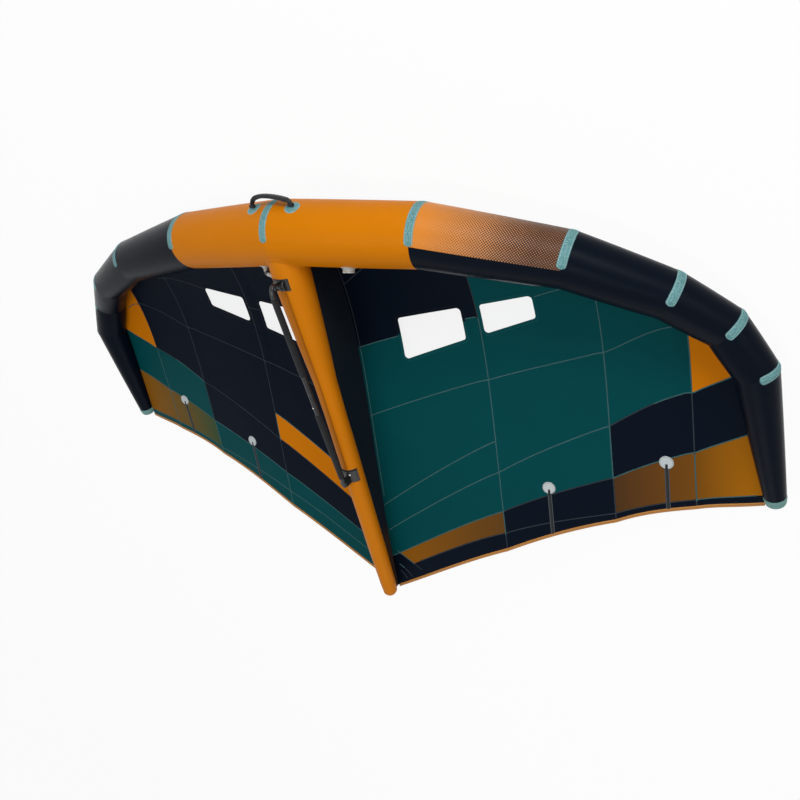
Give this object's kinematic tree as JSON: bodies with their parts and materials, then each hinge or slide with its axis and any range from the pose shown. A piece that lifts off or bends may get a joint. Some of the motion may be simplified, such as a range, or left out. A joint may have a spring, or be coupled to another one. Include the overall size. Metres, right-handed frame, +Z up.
{
  "type": "wingfoil wing",
  "caption": "Inflatable hand-held wing with a swept tapered leading edge, a centre strut with a rigid boom, a front handle, clear windows and a panelled canopy.",
  "frame": {"origin": "on the ground below the middle of the part's box, with the wing lying on its back on its two tips", "axes": "+X along the span towards the wing's right tip as seen from the rider's side, +Y towards the leading edge, +Z up towards the rider's side"},
  "size_m": [3.2428, 1.9198, 0.4395],
  "materials": {
    "orange_dacron": "woven polyester laminate",
    "navy_dacron": "woven polyester laminate",
    "print_dacron": "printed woven polyester laminate",
    "teal_cloth": "ripstop canopy cloth",
    "navy_cloth": "ripstop canopy cloth",
    "orange_cloth": "ripstop canopy cloth",
    "bronze_cloth": "printed ripstop canopy cloth",
    "clear_film": "clear window film",
    "bladder_film": "polyurethane bladder film",
    "teal_rubber": "moulded or coated reinforcement",
    "black_foam": "closed-cell grip foam",
    "black_plastic": "moulded nylon",
    "black_alloy": "black anodised tube",
    "bright_steel": "stainless steel",
    "pale_rubber": "valve and hose rubber",
    "pale_patch": "batten pocket and patch"
  },
  "bodies": {
    "wing": {"edge_casing_right_1": "orange_dacron", "edge_casing_right_2": "print_dacron", "edge_casing_right_3": "navy_dacron", "edge_casing_right_4": "navy_dacron", "edge_casing_right_5": "navy_dacron", "edge_casing_right_6": "navy_dacron", "edge_casing_left_1": "orange_dacron", "edge_casing_left_2": "navy_dacron", "edge_casing_left_3": "navy_dacron", "edge_casing_left_4": "navy_dacron", "edge_casing_left_5": "navy_dacron", "edge_casing_left_6": "navy_dacron", "edge_bladder": "bladder_film", "tip_cap_right": "teal_rubber", "tip_cap_left": "teal_rubber", "strut_casing": "orange_dacron", "strut_bladder": "bladder_film", "canopy_centre_front_right": "navy_cloth", "canopy_centre_middle_right": "teal_cloth", "canopy_centre_rear_right": "navy_cloth", "canopy_second_front_right": "teal_cloth", "canopy_second_rear_right": "navy_cloth", "canopy_third_front_right": "teal_cloth", "canopy_third_rear_right": "bronze_cloth", "canopy_tip_right": "orange_cloth", "canopy_centre_front_left": "navy_cloth", "canopy_centre_middle_left": "navy_cloth", "canopy_centre_rear_left": "teal_cloth", "canopy_second_front_left": "navy_cloth", "canopy_second_rear_left": "teal_cloth", "canopy_third_front_left": "navy_cloth", "canopy_third_rear_left": "teal_cloth", "canopy_tip_left": "orange_cloth", "window_inner_right": "clear_film", "window_outer_right": "clear_film", "window_inner_left": "clear_film", "window_outer_left": "clear_film", "strut_web": "navy_cloth", "trailing_tape_right": "orange_cloth", "trailing_tape_left": "orange_cloth", "batten_right_1": "pale_patch", "batten_right_2": "pale_patch", "batten_left_1": "pale_patch", "batten_left_2": "pale_patch", "handle_anchor_left": "teal_rubber", "handle_anchor_right": "teal_rubber", "inflation_valve": "pale_rubber", "strut_hose": "pale_rubber", "front_bracket": "black_plastic", "pivot_pin": "bright_steel", "rear_bracket": "black_plastic", "rear_bolt_left": "bright_steel", "rear_bolt_right": "bright_steel"},
    "handle": {"front_handle": "black_foam"},
    "valve_cap": {"valve_cap": "pale_rubber"},
    "boom_front": {"boom_upper_tube": "black_alloy", "upper_grip": "black_foam"},
    "boom_rear": {"boom_lower_tube": "black_alloy", "lower_grip": "black_foam"},
    "boom_button": {"boom_button": "bright_steel"}
  },
  "joints": [
    {"name": "handle_flop", "type": "hinge", "parent": "wing", "child": "handle", "pos_m": [0.012, 0.91889, 0.30831], "axis": [0.9998, -0.0131, -0.0144], "range_deg": [-34, 100]},
    {"name": "valve_cap_flip", "type": "hinge", "parent": "wing", "child": "valve_cap", "pos_m": [0.26, 0.67368, 0.31918], "axis": [-1, 0, 0], "range_deg": [0, 150]},
    {"name": "boom_swing", "type": "hinge", "parent": "wing", "child": "boom_front", "pos_m": [0, 0.64315, 0.38503], "axis": [-1, 0, 0], "range_deg": [0, 45]},
    {"name": "boom_extend", "type": "slide", "parent": "boom_front", "child": "boom_rear", "axis": [0, -0.9983, -0.0589], "range_m": [0, 0.022]},
    {"name": "boom_button_press", "type": "slide", "parent": "boom_rear", "child": "boom_button", "axis": [0, 0.0589, -0.9983], "range_m": [0, 0.002], "stiffness_N_per_m": 300, "springref_m": -0.001}
  ]
}
